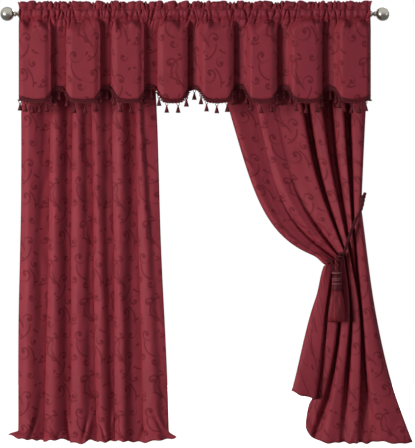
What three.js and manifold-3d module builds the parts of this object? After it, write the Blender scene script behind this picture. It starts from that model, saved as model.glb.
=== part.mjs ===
// A pair of blackout curtain panels and a tasselled valance on one rod, in millimetres, +Z up.
// X runs along the rod, -Y is the room side, and the origin is on the rod's axis at its middle.
// The left panel hangs straight, and the right one is drawn aside by a rope tie with a tassel.
import * as THREE from "three";
import { mergeVertices } from "three/addons/utils/BufferGeometryUtils.js";
import Module from "manifold-3d";

const wasm = await Module();
wasm.setup();

// Driving dimensions
const CLOTH = 2; // thickness of the cloth
const FLOOR_Z = -2070; // the hems touch the floor here
const SEAT_GAP = 0.4; // between a piece and what carries it

const ROD = { radius: 14, halfLength: 850, sides: 24 };
const FINIAL = {
  ballRadius: 33.5,
  ballAt: 50.6, // from the rod's end to the ball's middle
  neckRadius: 8.5,
  neckLength: 9,
  collarRadius: 13,
  collarEnd: 16,
  sides: 16,
};

const VALANCE = {
  headingZ: 61, // top of the gathered heading
  stitchZ: 24, // row of stitches above the pocket
  seamZ: -22, // row of stitches under the pocket
  hemZ: -404, // the hem beside the arches
  sag: 8, // how much lower each scallop hangs in its middle
  boreRadius: 14.5, // the pocket's channel for the rod
  gather: 5, // depth of the heading's gathers
  heading: 1.6, // half the thickness of the two layers of the heading
  recessY: -8, // depth of the pleats
  bellyY: -60, // depth of the scallops' bellies
};
// The pleats between the scallops: where the cloth lies deepest, where the hem is highest and by how much,
// and on which side the next scallop ends in a sharp lip (1 right, -1 left, 0 a soft end).
const PLEATS = [
  { x: -844, archX: -844, rise: 14, lip: 0 },
  { x: -636, archX: -650, rise: 56, lip: 1 },
  { x: -408, archX: -421, rise: 60, lip: 1 },
  { x: -197, archX: -209, rise: 62, lip: 1 },
  { x: -14, archX: -3, rise: 58, lip: -1 },
  { x: 202, archX: 214, rise: 64, lip: -1 },
  { x: 412, archX: 426, rise: 60, lip: -1 },
  { x: 632, archX: 648, rise: 56, lip: -1 },
  { x: 842, archX: 842, rise: 14, lip: 0 },
];
const ARCH = { top: 12, foot: 60 }; // half widths of the hem's arch
const SCALLOP_STEPS = [0, 0.06, 0.12, 0.24, 0.37, 0.5, 0.63, 0.76, 0.88, 0.94];

const TRIM = { height: 22, front: 2, back: 4, perScallop: 7, cord: 15, length: 52, width: 21 };

// Fold lines of the left panel: x at the high and the low level, depth, how far the hem is lifted,
// how far the fold laps sideways over its neighbour, and whether the cloth turns there in a round crest (1)
// or in a sharp crease (0).
const LEFT_LEVELS = { high: -557, low: -1887 };
const LEFT_FOLDS = [
  { high: -836, low: -852, y: 40, lift: 44, over: 0, round: 0 },
  { high: -794, low: -806, y: 8, lift: 25, over: 0, round: 1 },
  { high: -737, low: -751, y: 38, lift: 18, over: 0, round: 0 },
  { high: -692, low: -718, y: 50, lift: 14, over: 6, round: 0 },
  { high: -690, low: -716, y: 30, lift: 12, over: -6, round: 0 },
  { high: -664, low: -676, y: 8, lift: 20, over: 0, round: 1 },
  { high: -622, low: -626, y: 44, lift: 22, over: 0, round: 0 },
  { high: -589, low: -596, y: 54, lift: 10, over: 6, round: 0 },
  { high: -587, low: -594, y: 32, lift: 8, over: -6, round: 0 },
  { high: -560, low: -552, y: 12, lift: 0, over: 0, round: 1 },
  { high: -526, low: -506, y: 38, lift: 18, over: 0, round: 0 },
  { high: -493, low: -474, y: 50, lift: 12, over: 6, round: 0 },
  { high: -491, low: -472, y: 30, lift: 11, over: -6, round: 0 },
  { high: -470, low: -441, y: 10, lift: 9, over: 0, round: 1 },
  { high: -434, low: -410, y: 38, lift: 12, over: 0, round: 0 },
  { high: -394, low: -382, y: 48, lift: 16, over: 6, round: 0 },
  { high: -392, low: -380, y: 28, lift: 15, over: -6, round: 0 },
  { high: -358, low: -348, y: 7, lift: 14, over: 0, round: 1 },
  { high: -319, low: -312, y: 42, lift: 10, over: 0, round: 0 },
  { high: -282, low: -248, y: 54, lift: 5, over: 6, round: 0 },
  { high: -280, low: -246, y: 34, lift: 6, over: -6, round: 0 },
  { high: -262, low: -192, y: 16, lift: 20, over: 0, round: 1 },
  { high: -236, low: -150, y: 34, lift: 22, over: 0, round: 1 },
  { high: -183, low: -131, y: 38, lift: 32, over: 0, round: 0 },
];
const LEFT_ROWS = [
  -20, -40, -75, -130, -220, -430, -800, -1200, -1600, -1850, -1965, -2020, -2048, FLOOR_Z,
];
const LEFT_HEM = { breakZ: -1985, kick: 24, leftFlick: 46, rightFlick: 36 };

// Fold lines of the right panel, from its leading edge to its outer edge: share of the width at the top,
// place along the tie, x at two levels under the tie, hem, depth under the valance, at the tie, at the knee
// and at the hem, and whether the cloth turns there in a round crest (1) or in a sharp crease (0).
const RIGHT_FOLDS = [
  [0.00, 0.00, 560, 474, 461, -1810, 34, 6, 0, -24, 0],
  [0.03, 0.03, 581, 497, 490, -1827, 14, -16, -18, -36, 1],
  [0.13, 0.06, 607, 550, 528, -1840, 24, -10, -22, -34, 1],
  [0.19, 0.11, 624, 585, 574, -1848, 32, -4, -22, -28, 1],
  [0.21, 0.13, 631, 593, 583, -1850, 34, 22, 12, 8, 0],
  [0.22, 0.16, 635, 597, 550, -1862, 28, 14, 12, 22, 0],
  [0.23, 0.19, 648, 606, 528, -1992, 18, -8, -6, 24, 1],
  [0.32, 0.23, 688, 634, 552, -2030, 24, -6, -12, 20, 1],
  [0.34, 0.245, 695, 643, 568, -2042, 28, 28, 52, 46, 0],
  [0.36, 0.26, 700, 657, 586, -2050, 28, 28, 52, 46, 0],
  [0.43, 0.33, 712, 674, 626, -2068, 22, -10, -8, 8, 1],
  [0.52, 0.41, 740, 711, 688, -2064, 12, -18, -14, 12, 1],
  [0.54, 0.42, 745, 719, 700, -2062, 94, 36, 56, 28, 0],
  [0.58, 0.44, 751, 735, 724, -2063, 96, 36, 56, 28, 0],
  [0.60, 0.47, 757, 751, 744, -2069, 16, -10, -4, 14, 1],
  [0.66, 0.54, 787, 793, 778, -2068, 6, -18, -14, 8, 1],
  [0.68, 0.55, 790, 797, 786, -2062, 94, 36, 70, 30, 0],
  [0.75, 0.59, 793, 804, 804, -2066, 96, 38, 72, 32, 0],
  [0.77, 0.64, 795, 810, 822, -2070, 16, -10, 71, 31, 1],
  [0.82, 0.70, 797, 815, 836, -2069, 6, -18, 72, 32, 1],
  [0.84, 0.71, 799, 820, 846, -2064, 94, 36, 72, 32, 0],
  [0.88, 0.75, 801, 827, 874, -2058, 96, 38, 68, 28, 0],
  [0.90, 0.80, 807, 839, 902, -2056, 14, -10, -8, -2, 1],
  [0.95, 0.91, 842, 893, 962, -2070, 8, -14, -14, -10, 1],
  [1.00, 0.99, 866, 943, 1045, -2061, 24, 14, 14, -4, 0],
].map(([share, tie, kneeX, shinX, hemX, hemZ, browY, tieY, kneeY, hemY, round]) => ({
  share, tie, kneeX, shinX, hemX, hemZ, browY, tieY, kneeY, hemY, round,
}));
const KNEE_Z = -1423;
const SHIN_Z = -1769;
const RIGHT_TOP = {
  left: 22,
  right: 843,
  leftLean: 0.368,
  rightLean: -0.05,
  leftReach: 720,
  rightReach: 648,
};
const SWAG = { angle: 78.6, outerAngle: 2.6, fade: 2.14, reach: 421, belly: 24, drawn: 0.5 };
// Under the tie, in shares of the way down: the folds are deepest between the knee and the shin,
// and the leading edge stands out by the hip's width, which fades along the tie.
const BELOW_TIE = {
  knee: 0.3,
  shin: 0.5,
  hip: 20,
  hipTie: 0.15,
  hipStart: 0.022,
  hipTop: 0.042,
  hipEnd: 0.3,
};
const RIGHT_ABOVE = [0, 0.03, 0.07, 0.13, 0.2, 0.32, 0.45, 0.58, 0.7, 0.81, 0.9, 0.96, 1];
const RIGHT_BELOW = [0.022, 0.045, 0.1, 0.27, 0.41, 0.56, 0.72, 0.87, 1];
// The line across the cloth where the tie draws it in, from the leading edge up to the outer edge.
const TIE_LINE = new THREE.QuadraticBezierCurve3(
  new THREE.Vector3(648, 0, -1184),
  new THREE.Vector3(722, 0, -1160),
  new THREE.Vector3(800, 0, -925),
);

const GATHER_DEPTH = 150; // the folds reach their depth this far under the seam

const ROPE = { radius: 10, lobe: 0.13, strands: 2, lay: 74, step: 11, sides: 8 };
const TASSEL = {
  x: 678,
  y: -46,
  topZ: -1236.4,
  headLength: 94,
  skirtLength: 144,
  strands: 34,
  strandWidth: 3,
};

// Small helpers
const lerp = THREE.MathUtils.lerp;
const smoothstep = THREE.MathUtils.smoothstep;
const alongX = new THREE.Matrix4().makeRotationZ(-Math.PI / 2);

function finish(color, roughness, metalness = 0) {
  return new THREE.MeshStandardMaterial({ color, roughness, metalness });
}

const cloth = finish(0x7d2b35, 0.8);
const braid = finish(0x521a21, 0.85);
const nickel = finish(0xb4b0a6, 0.25, 1);

function piece(name, geometry, material) {
  const mesh = new THREE.Mesh(geometry, material);
  mesh.name = name;
  return mesh;
}

// An indexed geometry from points and triangles of point numbers.
function meshFrom(points, triangles) {
  const geometry = new THREE.BufferGeometry();
  const places = points.flatMap((p) => p.toArray());
  geometry.setAttribute("position", new THREE.Float32BufferAttribute(places, 3));
  geometry.setIndex(triangles.flat());
  geometry.computeVertexNormals();
  return geometry;
}

function solidOf(geometry) {
  const bare = new THREE.BufferGeometry();
  bare.setAttribute("position", geometry.getAttribute("position"));
  bare.setIndex(geometry.index);
  const merged = mergeVertices(bare, 1e-3);
  const vertProperties = new Float32Array(merged.getAttribute("position").array);
  const triVerts = new Uint32Array(merged.index.array);
  return new wasm.Manifold(new wasm.Mesh({ numProp: 3, vertProperties, triVerts }));
}

function geometryOf(solid) {
  const { numProp, numVert, vertProperties, triVerts } = solid.getMesh();
  const points = Array.from({ length: numVert }, (_, i) =>
    new THREE.Vector3().fromArray(vertProperties, i * numProp),
  );
  return meshFrom(points, [Array.from(triVerts)]);
}

// A closed skin over rings of equally many points, with a fan over each end ring.
function loft(rings) {
  const sides = rings[0].length;
  const points = rings.flat();
  const triangles = [];
  for (let r = 0; r + 1 < rings.length; r++) {
    for (let s = 0; s < sides; s++) {
      const [a, b] = [r * sides + s, r * sides + ((s + 1) % sides)];
      triangles.push([a, b, b + sides], [a, b + sides, a + sides]);
    }
  }
  const last = (rings.length - 1) * sides;
  for (let s = 1; s + 1 < sides; s++) {
    triangles.push([0, s + 1, s], [last, last + s, last + s + 1]);
  }
  return meshFrom(points, triangles);
}

// A sheet of the cloth's thickness on a grid of points, rows from the top down and columns along +X.
function thickSheet(grid) {
  const rows = grid.length;
  const columns = grid[0].length;
  const within = THREE.MathUtils.clamp;
  const at = (r, c) => grid[within(r, 0, rows - 1)][within(c, 0, columns - 1)];
  const front = [];
  const back = [];
  for (let r = 0; r < rows; r++) {
    for (let c = 0; c < columns; c++) {
      const across = at(r, c + 1).clone().sub(at(r, c - 1));
      const down = at(r + 1, c).clone().sub(at(r - 1, c));
      const normal = down.cross(across).normalize().multiplyScalar(CLOTH / 2);
      front.push(at(r, c).clone().add(normal));
      back.push(at(r, c).clone().sub(normal));
    }
  }
  const toBack = rows * columns;
  const f = (r, c) => r * columns + c;
  const triangles = [];
  const strip = (a, b) => triangles.push([a, b, b + toBack], [a, b + toBack, a + toBack]);
  for (let r = 0; r + 1 < rows; r++) {
    for (let c = 0; c + 1 < columns; c++) {
      const [a, b, d, e] = [f(r, c), f(r + 1, c), f(r + 1, c + 1), f(r, c + 1)];
      triangles.push([a, b, d], [a, d, e]);
      triangles.push([a + toBack, d + toBack, b + toBack], [a + toBack, e + toBack, d + toBack]);
    }
    strip(f(r + 1, 0), f(r, 0));
    strip(f(r, columns - 1), f(r + 1, columns - 1));
  }
  for (let c = 0; c + 1 < columns; c++) {
    strip(f(0, c), f(0, c + 1));
    strip(f(rows - 1, c + 1), f(rows - 1, c));
  }
  return meshFrom([...front, ...back], triangles);
}

// The way from one fold line to the next: level at a round crest, and straight into a sharp crease.
function turn(share, from, to) {
  if (from.round && to.round) return smoothstep(share, 0, 1);
  if (from.round) return 1 - Math.cos((share * Math.PI) / 2);
  if (to.round) return Math.sin((share * Math.PI) / 2);
  return share;
}

// One row of a folded sheet, through the fold lines' points, with more columns where the cloth turns.
function foldedRow(points, folds) {
  const row = [];
  for (let k = 0; k + 1 < points.length; k++) {
    const steps = [1, 3, 2][folds[k].round + folds[k + 1].round];
    for (let s = 0; s < steps; s++) {
      const share = s / steps;
      const point = points[k].clone().lerp(points[k + 1], share);
      point.y = lerp(points[k].y, points[k + 1].y, turn(share, folds[k], folds[k + 1]));
      row.push(point);
    }
  }
  row.push(points.at(-1).clone());
  return row;
}

// The panels are sewn behind the valance's pocket, flat against its seam.
const PANEL_TOP_Y = 3 + SEAT_GAP + CLOTH / 2;
const PANEL_TOP_Z = VALANCE.seamZ - SEAT_GAP;

function folding(z) {
  return smoothstep(PANEL_TOP_Z - z, 0, GATHER_DEPTH);
}

function leftPanel() {
  const rows = LEFT_ROWS.map((level) => {
    const z = Math.min(level, PANEL_TOP_Z);
    const fall = (LEFT_LEVELS.high - z) / (LEFT_LEVELS.high - LEFT_LEVELS.low);
    const flare = smoothstep(-z, -LEFT_HEM.breakZ, -FLOOR_Z);
    const points = LEFT_FOLDS.map((fold, k) => {
      const place = k / (LEFT_FOLDS.length - 1);
      const flick = lerp(-LEFT_HEM.leftFlick, LEFT_HEM.rightFlick, place) * Math.abs(2 * place - 1) ** 5;
      const x = lerp(fold.high, fold.low, fall) + fold.over * folding(z) + flare ** 3 * flick;
      const y = lerp(PANEL_TOP_Y, fold.y, folding(z)) - flare * LEFT_HEM.kick;
      return new THREE.Vector3(x, y, z + flare * fold.lift);
    });
    return foldedRow(points, LEFT_FOLDS);
  });
  return thickSheet(rows);
}

// A fold line of the right panel: down in a swag to the tie, then out to the hem.
function rightFoldLine(fold) {
  const topX = lerp(RIGHT_TOP.left, RIGHT_TOP.right, fold.share);
  const lean = lerp(RIGHT_TOP.leftLean, RIGHT_TOP.rightLean, fold.share);
  const reach = lerp(RIGHT_TOP.leftReach, RIGHT_TOP.rightReach, fold.share);
  const tie = TIE_LINE.getPoint(fold.tie);
  const angle = THREE.MathUtils.degToRad(SWAG.angle * (1 - fold.tie) ** SWAG.fade - SWAG.outerAngle);
  const above = new THREE.CubicBezierCurve3(
    new THREE.Vector3(topX, 0, PANEL_TOP_Z),
    new THREE.Vector3(topX + lean * reach, 0, PANEL_TOP_Z - reach),
    new THREE.Vector3(tie.x - SWAG.reach * Math.sin(angle), 0, tie.z + SWAG.reach * Math.cos(angle)),
    tie,
  );
  const below = new THREE.CatmullRomCurve3([
    tie,
    new THREE.Vector3(fold.kneeX, 0, KNEE_Z),
    new THREE.Vector3(fold.shinX, 0, SHIN_Z),
    new THREE.Vector3(fold.hemX, 0, fold.hemZ),
  ]);
  return { above, below };
}

function rightPanel() {
  const { hip, hipTie, hipStart, hipTop, hipEnd } = BELOW_TIE;
  const lines = RIGHT_FOLDS.map((fold) => ({ fold, ...rightFoldLine(fold) }));
  const upper = RIGHT_ABOVE.map((share) =>
    foldedRow(
      lines.map(({ fold, above }) => {
        const point = above.getPoint(share);
        const belly = SWAG.belly * (1 - fold.share) ** 2 * Math.sin(Math.PI * share ** 2) ** 2;
        const hung = lerp(fold.browY, fold.tieY, smoothstep(share, SWAG.drawn, 1)) - belly;
        point.y = lerp(PANEL_TOP_Y, hung, folding(point.z));
        return point;
      }),
      RIGHT_FOLDS,
    ),
  );
  const lower = RIGHT_BELOW.map((share) =>
    foldedRow(
      lines.map(({ fold, below }) => {
        const point = below.getPointAt(share);
        const out = smoothstep(share, hipStart, hipTop) * (1 - smoothstep(share, hipTop, hipEnd));
        point.x -= hip * Math.max(0, 1 - fold.tie / hipTie) * out;
        const knee = lerp(fold.tieY, fold.kneeY, smoothstep(share, 0, BELOW_TIE.knee));
        point.y = lerp(knee, fold.hemY, smoothstep(share, BELOW_TIE.shin, 1));
        return point;
      }),
      RIGHT_FOLDS,
    ),
  );
  return thickSheet([...upper, ...lower]);
}

// The valance's columns: x, whether the gather stands forward, depth of the skirt and height of the hem.
function valanceColumns() {
  const columns = [];
  const column = (x, belly) => {
    const forward = columns.length % 2;
    const y = lerp(VALANCE.recessY, VALANCE.bellyY, belly);
    const reach = PLEATS.map(({ archX }) => Math.abs(x - archX));
    const arches = PLEATS.map(({ rise }, k) => rise * (1 - smoothstep(reach[k], ARCH.top, ARCH.foot)));
    const sag = VALANCE.sag * smoothstep(Math.min(...reach), ARCH.top, 2 * ARCH.foot);
    columns.push({ x, forward, y, hemZ: VALANCE.hemZ + Math.max(...arches) - sag });
  };
  for (let k = 0; k + 1 < PLEATS.length; k++) {
    const [from, to] = [PLEATS[k], PLEATS[k + 1]];
    const leftWidth = from.lip === 1 ? 0.1 : 0.3;
    const rightWidth = to.lip === -1 ? 0.1 : 0.3;
    for (const share of SCALLOP_STEPS) {
      const dip = 0.12 * Math.sin(Math.PI * share) ** 2;
      const belly = smoothstep(share, 0, leftWidth) * smoothstep(1 - share, 0, rightWidth) - dip;
      column(lerp(from.x, to.x, share), Math.max(belly, 0));
    }
  }
  column(PLEATS.at(-1).x, 0);
  return columns;
}

// The valance's outline in one column: heading, pocket and skirt, down the front and up the back.
function valanceRing({ x, forward, y, hemZ }) {
  const { headingZ, stitchZ, seamZ, gather, heading } = VALANCE;
  const ruffle = forward ? -gather : gather;
  const front = [
    [ruffle - heading, headingZ + (forward ? 2 : -2)],
    [ruffle - heading, lerp(stitchZ, headingZ, 0.5)],
    [ruffle * 0.3 - heading - 2.5, stitchZ],
    [-19 - forward * 4, 5],
    [-17 - forward * 4, -11],
    [-3, seamZ],
  ];
  const skirt = [
    [0.06, 0.45],
    [0.2, 0.85],
    [0.45, 1],
    [0.72, 1],
    [1, 1],
  ].map(([share, depth]) => [lerp(-3, y, depth), lerp(seamZ, hemZ, share)]);
  const behind = (side) => side.map(([py, pz]) => [py + CLOTH, pz]).reverse();
  const back = [
    [3, seamZ],
    [17 + forward * 4, -11],
    [19 + forward * 4, 5],
    [ruffle * 0.3 + heading + 2.5, stitchZ],
    [ruffle + heading, lerp(stitchZ, headingZ, 0.5)],
    [ruffle + heading, headingZ + (forward ? 2 : -2)],
  ];
  return [...front, ...skirt, ...behind(skirt), ...back].map(([py, pz]) => new THREE.Vector3(x, py, pz));
}

// The end faces aren't convex, so they are cut into triangles as flat outlines.
function valanceOuter(rings) {
  const sides = rings[0].length;
  const points = rings.flat();
  const triangles = [];
  for (let r = 0; r + 1 < rings.length; r++) {
    for (let s = 0; s < sides; s++) {
      const [a, b] = [r * sides + s, r * sides + ((s + 1) % sides)];
      triangles.push([a, b, b + sides], [a, b + sides, a + sides]);
    }
  }
  const last = (rings.length - 1) * sides;
  const outline = (ring) => ring.map((p) => new THREE.Vector2(p.y, p.z));
  for (const [a, b, c] of THREE.ShapeUtils.triangulateShape(outline(rings[0]), [])) {
    triangles.push([a, c, b]);
  }
  for (const [a, b, c] of THREE.ShapeUtils.triangulateShape(outline(rings.at(-1)), [])) {
    triangles.push([last + a, last + b, last + c]);
  }
  return meshFrom(points, triangles);
}

function valance(columns) {
  const bore = new THREE.CylinderGeometry(VALANCE.boreRadius, VALANCE.boreRadius, 2000, ROD.sides);
  const outer = solidOf(valanceOuter(columns.map(valanceRing)));
  return geometryOf(outer.subtract(solidOf(bore.applyMatrix4(alongX))));
}

// A small tassel: a cord, a bound neck and a flared skirt, four-sided.
function smallTassel() {
  const { cord, length, width } = TRIM;
  const profile = [
    [0, -length],
    [width / 2, -length],
    [width * 0.18, -cord - (length - cord) * 0.3],
    [1.6, -cord + 4],
    [1.6, 4],
    [0, 4],
  ].map(([radius, z]) => new THREE.Vector2(radius, z));
  return new THREE.LatheGeometry(profile, 4).rotateX(Math.PI / 2);
}

// Where a value lies in a rising list, as a fractional place.
function placeIn(list, value) {
  const k = THREE.MathUtils.clamp(list.findIndex((entry) => entry >= value), 1, list.length - 1);
  return k - 1 + (value - list[k - 1]) / (list[k] - list[k - 1]);
}

function valueAt(list, place) {
  const k = Math.min(Math.floor(place), list.length - 2);
  return lerp(list[k], list[k + 1], place - k);
}

// The braid follows the hem just under the cloth. A tassel hangs at each arch,
// and the others at an even pitch along the hem between the arches.
function tasselTrim(columns) {
  const { height, front, back, perScallop } = TRIM;
  const top = SEAT_GAP + 0.3;
  const rings = columns.map(({ x, y, hemZ }) =>
    [
      [y - front, hemZ - top],
      [y - front, hemZ - top - height],
      [y + back, hemZ - top - height],
      [y + back, hemZ - top],
    ].map(([py, pz]) => new THREE.Vector3(x, py, pz)),
  );
  let trim = solidOf(loft(rings));
  const xs = columns.map(({ x }) => x);
  const lengths = [0];
  columns.slice(1).forEach(({ x, hemZ }, k) => {
    lengths.push(lengths[k] + Math.hypot(x - columns[k].x, hemZ - columns[k].hemZ));
  });
  const arches = PLEATS.map(({ archX }) => valueAt(lengths, placeIn(xs, archX)));
  for (let k = 0; k + 1 < arches.length; k++) {
    for (let s = 0; s < perScallop; s++) {
      const share = k === 0 ? (s + 0.5) / (perScallop + 0.5) : s / perScallop;
      const before = k + 2 === arches.length ? share * 0.97 : share;
      const place = placeIn(lengths, lerp(arches[k], arches[k + 1], before));
      const y = valueAt(columns.map((column) => column.y), place) + (back - front) / 2;
      const z = valueAt(columns.map((column) => column.hemZ), place) - top - height;
      trim = trim.add(solidOf(smallTassel().translate(valueAt(xs, place), y, z)));
    }
  }
  return geometryOf(trim);
}

function rod() {
  const { radius, halfLength, sides } = ROD;
  return new THREE.CylinderGeometry(radius, radius, 2 * halfLength, sides).applyMatrix4(alongX);
}

// A narrow neck on the rod's end, a collar and a ball, turned about the rod's axis.
function finial(side) {
  const { ballRadius, ballAt, neckRadius, neckLength, collarRadius, collarEnd, sides } = FINIAL;
  const profile = [
    [0, 0],
    [neckRadius, 0],
    [neckRadius, neckLength],
    [collarRadius, neckLength + 2],
    [collarRadius, collarEnd],
  ].map(([radius, along]) => new THREE.Vector2(radius, along));
  const firstAngle = Math.acos((ballAt - collarEnd - 2) / ballRadius);
  const rings = 9;
  for (let k = 0; k <= rings; k++) {
    const angle = lerp(firstAngle, Math.PI, k / rings);
    const radius = k === rings ? 0 : ballRadius * Math.sin(angle);
    profile.push(new THREE.Vector2(radius, ballAt - ballRadius * Math.cos(angle)));
  }
  const turned = new THREE.LatheGeometry(profile, sides);
  turned.applyMatrix4(side > 0 ? alongX : alongX.clone().invert());
  return turned.translate(side * (ROD.halfLength + SEAT_GAP), 0, 0);
}

// The rope leaves the tassel's head, crosses the front of the cloth up to its outer edge,
// turns behind it, comes back under the swag and goes down into the head again.
const ROPE_ROUTE = [
  { x: 695, y: -46, z: -1236 },
  { x: 695, y: -46, z: -1216 },
  { x: 699, y: -45, z: -1186 },
  { x: 706, y: -43, z: -1160 },
  { x: 716, y: -40, z: -1138 },
  { x: 733, y: -37, z: -1085 },
  { x: 765, y: -36, z: -999 },
  { x: 796, y: -35, z: -936 },
  { x: 808, y: -27, z: -888 },
  { x: 815, y: -4, z: -866 },
  { x: 816, y: 24, z: -864 },
  { x: 808, y: 50, z: -880 },
  { x: 790, y: 62, z: -918 },
  { x: 764, y: 66, z: -980 },
  { x: 728, y: 66, z: -1080 },
  { x: 690, y: 66, z: -1166 },
  { x: 656, y: 58, z: -1192 },
  { x: 629, y: 30, z: -1194 },
  { x: 624, y: -6, z: -1192 },
  { x: 634, y: -38, z: -1188 },
  { x: 648, y: -48, z: -1184 },
  { x: 659, y: -48, z: -1202 },
  { x: 661, y: -46, z: -1236 },
].map(({ x, y, z }) => new THREE.Vector3(x, y, z));

function tieRope() {
  const { radius, lobe, strands, lay, step, sides } = ROPE;
  const curve = new THREE.CatmullRomCurve3(ROPE_ROUTE, false, "centripetal");
  const steps = Math.round(curve.getLength() / step);
  const { normals, binormals } = curve.computeFrenetFrames(steps, false);
  const rings = [];
  for (let k = 0; k <= steps; k++) {
    const middle = curve.getPointAt(k / steps);
    const twist = ((2 * Math.PI) / lay) * (k * curve.getLength()) / steps;
    const ring = [];
    for (let s = 0; s < sides; s++) {
      const angle = (2 * Math.PI * s) / sides;
      const r = radius * (1 - lobe + lobe * Math.cos(strands * (angle - twist / strands)));
      const aside = normals[k].clone().multiplyScalar(r * Math.cos(angle));
      ring.push(aside.addScaledVector(binormals[k], r * Math.sin(angle)).add(middle));
    }
    rings.push(ring);
  }
  return loft(rings);
}

// The big tassel: a turned, bound head with strands fused into its lower band.
function tieTassel() {
  const { x, y, topZ, headLength, skirtLength, strands, strandWidth } = TASSEL;
  const profile = [
    [0, -headLength],
    [23, -headLength],
    [25, -headLength + 6],
    [24, -headLength + 16],
    [20, -headLength + 20],
    [23, -headLength + 28],
    [20, -headLength + 36],
    [19, -headLength + 50],
    [22, -headLength + 58],
    [18, -headLength + 66],
    [23, -headLength + 76],
    [22, -6],
    [16, 0],
    [0, 0],
  ].map(([radius, z]) => new THREE.Vector2(radius, z));
  let solid = solidOf(new THREE.LatheGeometry(profile, 16).rotateX(Math.PI / 2));
  const levels = [
    { z: -headLength + 5, wide: 20, deep: 20, half: strandWidth / 2 },
    { z: -headLength - 0.45 * skirtLength, wide: 32, deep: 19, half: strandWidth * 0.75 },
    { z: -headLength - skirtLength, wide: 43, deep: 18, half: strandWidth * 0.9 },
  ];
  for (let k = 0; k < strands; k++) {
    const angle = (2 * Math.PI * k) / strands;
    const uneven = 4 * Math.sin(k * 2.4);
    const rings = levels.map(({ z, wide, deep, half }, level) => {
      const [px, py] = [wide * Math.cos(angle), deep * Math.sin(angle)];
      const pz = z + (level === 2 ? uneven : 0);
      return [
        [-half, -half],
        [half, -half],
        [half, half],
        [-half, half],
      ].map(([dx, dy]) => new THREE.Vector3(px + dx, py + dy, pz));
    });
    solid = solid.add(solidOf(loft(rings.reverse())));
  }
  return geometryOf(solid).translate(x, y, topZ - SEAT_GAP);
}

const columns = valanceColumns();
const curtainSet = new THREE.Group();
curtainSet.add(
  piece("panel_left", leftPanel(), cloth),
  piece("panel_right", rightPanel(), cloth),
  piece("valance", valance(columns), cloth),
  piece("tassel_trim", tasselTrim(columns), braid),
  piece("tie_rope", tieRope(), braid),
  piece("tie_tassel", tieTassel(), braid),
  piece("rod", rod(), nickel),
  piece("finial_left", finial(-1), nickel),
  piece("finial_right", finial(1), nickel),
);

export default curtainSet;
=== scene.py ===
import math
import bpy
import numpy as np
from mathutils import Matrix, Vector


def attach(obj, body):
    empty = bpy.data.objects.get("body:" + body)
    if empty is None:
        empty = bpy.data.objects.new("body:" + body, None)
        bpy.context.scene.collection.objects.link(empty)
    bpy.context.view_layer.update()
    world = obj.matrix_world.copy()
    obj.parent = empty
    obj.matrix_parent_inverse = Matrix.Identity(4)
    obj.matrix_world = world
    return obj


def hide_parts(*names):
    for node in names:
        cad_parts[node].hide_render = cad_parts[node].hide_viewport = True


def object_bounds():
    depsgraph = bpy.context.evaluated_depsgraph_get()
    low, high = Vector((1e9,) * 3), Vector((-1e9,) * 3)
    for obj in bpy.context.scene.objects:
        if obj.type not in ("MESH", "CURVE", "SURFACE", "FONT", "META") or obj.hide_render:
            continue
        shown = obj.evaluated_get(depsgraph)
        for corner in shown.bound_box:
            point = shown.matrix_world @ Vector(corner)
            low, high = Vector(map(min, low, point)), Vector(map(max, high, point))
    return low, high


# Two jacquard curtain panels and a tasselled valance on one rod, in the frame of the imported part.
# The dictionaries are in millimetres, with x along the rod, -y to the room and z up from the rod's axis.
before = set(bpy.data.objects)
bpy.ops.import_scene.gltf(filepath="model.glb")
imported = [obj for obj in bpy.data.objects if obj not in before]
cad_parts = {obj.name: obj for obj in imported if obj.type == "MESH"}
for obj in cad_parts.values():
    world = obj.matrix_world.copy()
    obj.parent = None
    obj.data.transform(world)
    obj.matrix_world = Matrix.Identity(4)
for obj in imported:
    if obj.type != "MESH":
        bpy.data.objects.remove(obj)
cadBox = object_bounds()
print("frame loaded, box", [[round(float(v), 3) for v in corner] for corner in cadBox])

metre = 0.001  # takes millimetres to metres
scene = bpy.context.scene


# Shared small tools
def linearColour(hexText):
    parts = [int(hexText[i:i + 2], 16) / 255 for i in (1, 3, 5)]
    return [c / 12.92 if c <= 0.04045 else ((c + 0.055) / 1.055) ** 2.4 for c in parts] + [1.0]


def setInputs(tree, node, inputs):
    for key, value in inputs.items():
        if isinstance(value, bpy.types.NodeSocket):
            tree.links.new(value, node.inputs[key])
        else:
            node.inputs[key].default_value = value


def addNode(tree, kind, settings, inputs):
    node = tree.nodes.new(kind)
    for key, value in settings.items():
        setattr(node, key, value)
    setInputs(tree, node, inputs)
    return node


def maths(tree, operation, *values):
    return addNode(tree, "ShaderNodeMath", {"operation": operation}, dict(enumerate(values))).outputs[0]


def vectorMaths(tree, operation, *values):
    node = addNode(tree, "ShaderNodeVectorMath", {"operation": operation}, dict(enumerate(values)))
    return node.outputs["Value" if operation in ("LENGTH", "DOT_PRODUCT") else "Vector"]


def scaled(tree, vector, factor):
    inputs = {0: vector, "Scale": factor}
    return addNode(tree, "ShaderNodeVectorMath", {"operation": "SCALE"}, inputs).outputs[0]


def mapped(tree, value, source, target=(0, 1), kind="LINEAR"):
    ends = dict(enumerate((value, *source, *target)))
    return addNode(tree, "ShaderNodeMapRange", {"interpolation_type": kind}, ends).outputs[0]


def smoothly(tree, value, low, high):
    return mapped(tree, value, (low, high), kind="SMOOTHSTEP")


def mixed(tree, share, first, second):
    colours = {"Factor": share, "A": linearColour(first), "B": linearColour(second)}
    return addNode(tree, "ShaderNodeMix", {"data_type": "RGBA"}, colours).outputs["Result"]


def noise(tree, place, size, detail):
    inputs = {"Vector": place, "Scale": 1 / size, "Detail": detail}
    return addNode(tree, "ShaderNodeTexNoise", {}, inputs).outputs[0]


def bumped(tree, height, strength, depth):
    inputs = {"Strength": strength, "Distance": depth * metre, "Height": height}
    return addNode(tree, "ShaderNodeBump", {}, inputs).outputs[0]


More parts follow.
